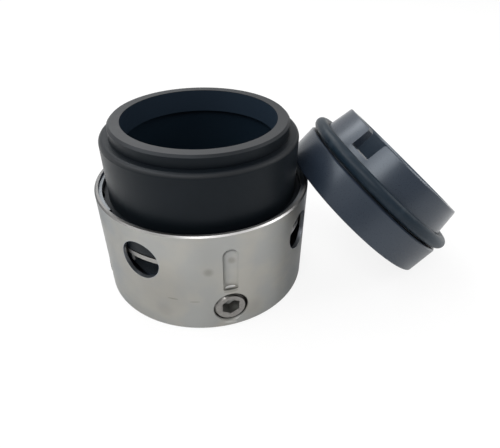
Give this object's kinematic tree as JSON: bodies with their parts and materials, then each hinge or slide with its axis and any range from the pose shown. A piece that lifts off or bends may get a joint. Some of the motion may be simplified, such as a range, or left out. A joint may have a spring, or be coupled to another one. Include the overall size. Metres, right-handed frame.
{
  "type": "mechanical shaft seal",
  "caption": "Mechanical shaft seal set: collar with set screws, windowed sleeve and sprung hard running ring, with its leaning stationary seat and rubber ring.",
  "frame": {"origin": "centre of the collar's back face, on the shaft axis", "axes": "+Z along the shaft axis, from the collar's back face to the running face; the seat leans on the +X side"},
  "size_m": [0.0706, 0.0431, 0.0327],
  "materials": {
    "collar_steel": "satin",
    "screw_steel": "satin",
    "ring_steel": "satin",
    "spring_steel": "satin",
    "dark_carbide": "satin",
    "grey_carbide": "satin",
    "grey_rubber": "matte",
    "black_rubber": "matte"
  },
  "bodies": {
    "collar": {"drive_collar": "collar_steel", "snap_ring": "ring_steel", "wave_spring": "spring_steel", "stationary_seat": "grey_carbide", "seat_o_ring": "grey_rubber"},
    "running_ring": {"seal_ring": "dark_carbide", "shaft_o_ring": "black_rubber", "thrust_ring": "ring_steel"},
    "screw_1": {"set_screw_1": "screw_steel"},
    "screw_2": {"set_screw_2": "screw_steel"},
    "screw_3": {"set_screw_3": "screw_steel"},
    "screw_4": {"set_screw_4": "screw_steel"}
  },
  "joints": [
    {"name": "face_travel", "type": "slide", "parent": "collar", "child": "running_ring", "axis": [0, 0, 1], "range_m": [-0.0025, 0], "stiffness_N_per_m": 8000, "springref_m": 0.0035, "deforming": ["wave_spring"]},
    {"name": "set_screw_1_travel", "type": "slide", "parent": "collar", "child": "screw_1", "axis": [-0.304, 0.9527, 0], "range_m": [-0.004, 0.0028]},
    {"name": "set_screw_2_travel", "type": "slide", "parent": "collar", "child": "screw_2", "axis": [-0.9527, -0.304, 0], "range_m": [-0.004, 0.0028]},
    {"name": "set_screw_3_travel", "type": "slide", "parent": "collar", "child": "screw_3", "axis": [0.304, -0.9527, 0], "range_m": [-0.004, 0.0028]},
    {"name": "set_screw_4_travel", "type": "slide", "parent": "collar", "child": "screw_4", "axis": [0.9527, 0.304, 0], "range_m": [-0.004, 0.0028]}
  ]
}
